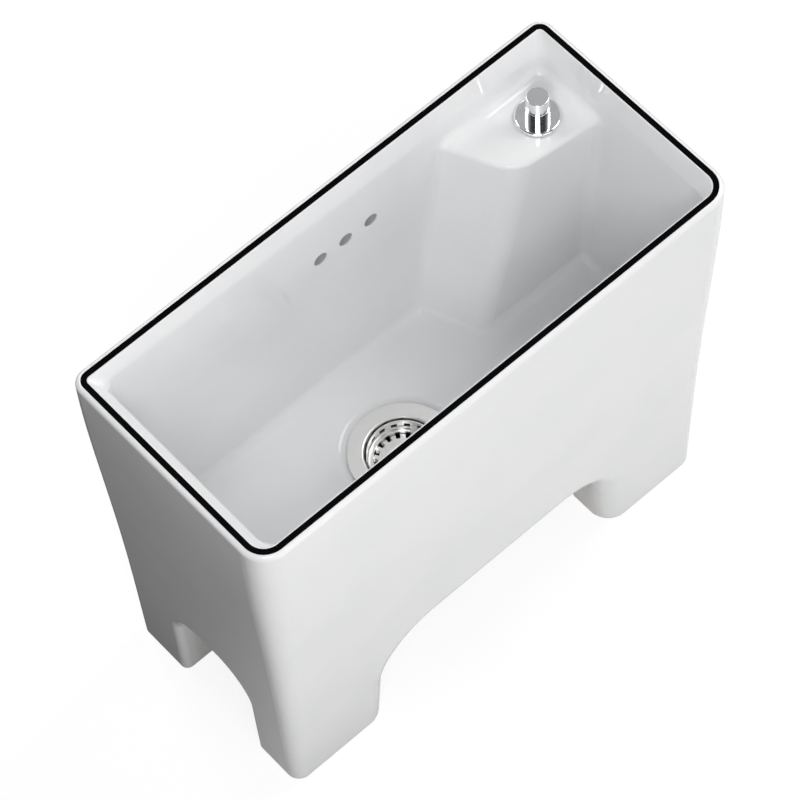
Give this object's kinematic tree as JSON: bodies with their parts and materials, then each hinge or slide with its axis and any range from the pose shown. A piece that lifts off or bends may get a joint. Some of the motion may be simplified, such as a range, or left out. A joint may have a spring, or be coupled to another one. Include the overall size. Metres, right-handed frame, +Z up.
{
  "type": "mop sink",
  "caption": "Deep oblong glazed mop sink on four hollow feet, with a dark rim line, a corner ledge with a push button, overflow holes and a basket drain.",
  "frame": {"origin": "on the floor under the middle of the rim", "axes": "+X along the long side towards the button's end, +Y from the room towards the wall, +Z up"},
  "size_m": [0.57, 0.26, 0.5],
  "materials": {
    "white_glaze": "gloss white glaze over fired clay",
    "black_glaze": "gloss black glaze line",
    "chrome": "polished chrome plate",
    "satin_steel": "satin stainless steel",
    "steel": "plain stainless steel",
    "brass": "plain turned brass",
    "black_rubber": "matt black rubber",
    "grey_plastic": "moulded grey plastic",
    "white_plastic": "moulded white plastic"
  },
  "bodies": {
    "sink": {"ceramic_body": "white_glaze", "rim_glaze_line": "black_glaze", "button_escutcheon": "chrome", "strainer_body": "satin_steel", "return_spring": "steel", "under_ledge_washer": "steel", "cable_bracket": "steel", "barrel_nut": "brass", "gland_nut": "brass", "lower_sheath_screw": "brass", "lower_sheath_nuts": "brass", "upper_sheath_screw": "brass", "upper_sheath_nut": "brass", "deck_seal": "black_rubber", "under_ledge_seal": "black_rubber", "flange_seal": "black_rubber", "lower_seal": "black_rubber", "outlet_seal": "black_rubber", "spindle_o_ring": "black_rubber", "tail_seal": "black_rubber", "slip_ring": "grey_plastic", "locknut": "grey_plastic", "coupling_nut": "grey_plastic", "slip_nut": "grey_plastic", "cable_socket": "grey_plastic", "valve_housing": "white_plastic", "tailpiece": "white_plastic", "stem_guide": "white_plastic", "guide_bush": "white_plastic"},
    "button": {"button_cap": "chrome", "push_rod": "steel", "rod_clip": "steel"},
    "valve": {"valve_disc": "white_plastic", "valve_seal": "black_rubber", "valve_stem": "steel"},
    "lever": {"lift_spindle": "steel", "lever_arm": "steel", "lever_screw": "steel", "cable_pin": "brass"},
    "basket": {"strainer_basket": "satin_steel", "tooth_plate": "satin_steel", "basket_knob": "satin_steel", "basket_screw": "satin_steel"}
  },
  "joints": [
    {"name": "button_press", "type": "slide", "parent": "sink", "child": "button", "axis": [0, 0, -1], "range_m": [0, 0.01], "stiffness_N_per_m": 400, "springref_m": -0.006, "deforming": ["return_spring"]},
    {"name": "valve_lift", "type": "slide", "parent": "sink", "child": "valve", "axis": [0, 0, 1], "range_m": [0, 0.0075]},
    {"name": "lever_turn", "type": "hinge", "parent": "sink", "child": "lever", "pos_m": [-0.029, 0, 0.0765], "axis": [0, -1, 0], "range_deg": [0, 32]},
    {"name": "basket_lift", "type": "slide", "parent": "sink", "child": "basket", "axis": [0, 0, 1], "range_m": [0, 0.06]}
  ],
  "couplings": [
    {"joint": "valve_lift", "follows": "button_press", "ratio": 0.74},
    {"joint": "lever_turn", "follows": "button_press", "rad_per_m": 55.5}
  ]
}
